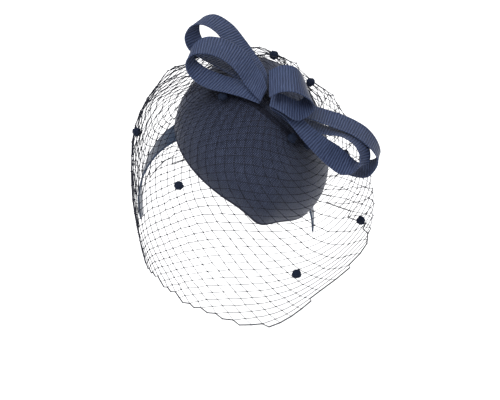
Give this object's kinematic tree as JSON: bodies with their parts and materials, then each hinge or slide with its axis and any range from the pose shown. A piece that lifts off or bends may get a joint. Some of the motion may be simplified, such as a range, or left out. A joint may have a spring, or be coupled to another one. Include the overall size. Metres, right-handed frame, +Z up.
{
  "type": "pillbox hat",
  "caption": "Teardrop pillbox hat of woven straw, worn tilted on a narrow satin headband, with a looped straw bow and a dotted face veil.",
  "frame": {"origin": "seat on top of the wearer's head, where the inner face of the headband lies at its middle", "axes": "+Z up, +X to the wearer's left, -Y to the front"},
  "size_m": [0.2388, 0.2325, 0.2674],
  "materials": {
    "satin": "navy satin, soft sheen",
    "crown_straw": "navy woven straw, matt with fine highlights",
    "bow_straw": "navy ribbed woven straw, slightly lustrous",
    "net": "navy thread netting, matt",
    "chenille": "navy chenille, deep matt pile"
  },
  "bodies": {
    "root": {"headband": "satin", "crown": "crown_straw", "bow_loop_left_lower": "bow_straw", "bow_loop_left_upper": "bow_straw", "bow_loop_right_inner": "bow_straw", "bow_loop_right_outer": "bow_straw", "bow_loop_centre": "bow_straw", "veil": "net", "veil_dot_01": "chenille", "veil_dot_02": "chenille", "veil_dot_03": "chenille", "veil_dot_04": "chenille", "veil_dot_05": "chenille", "veil_dot_06": "chenille", "veil_dot_07": "chenille", "veil_dot_08": "chenille", "veil_dot_09": "chenille", "veil_dot_10": "chenille", "veil_dot_11": "chenille", "veil_dot_12": "chenille", "veil_dot_13": "chenille", "veil_dot_14": "chenille"}
  },
  "joints": []
}
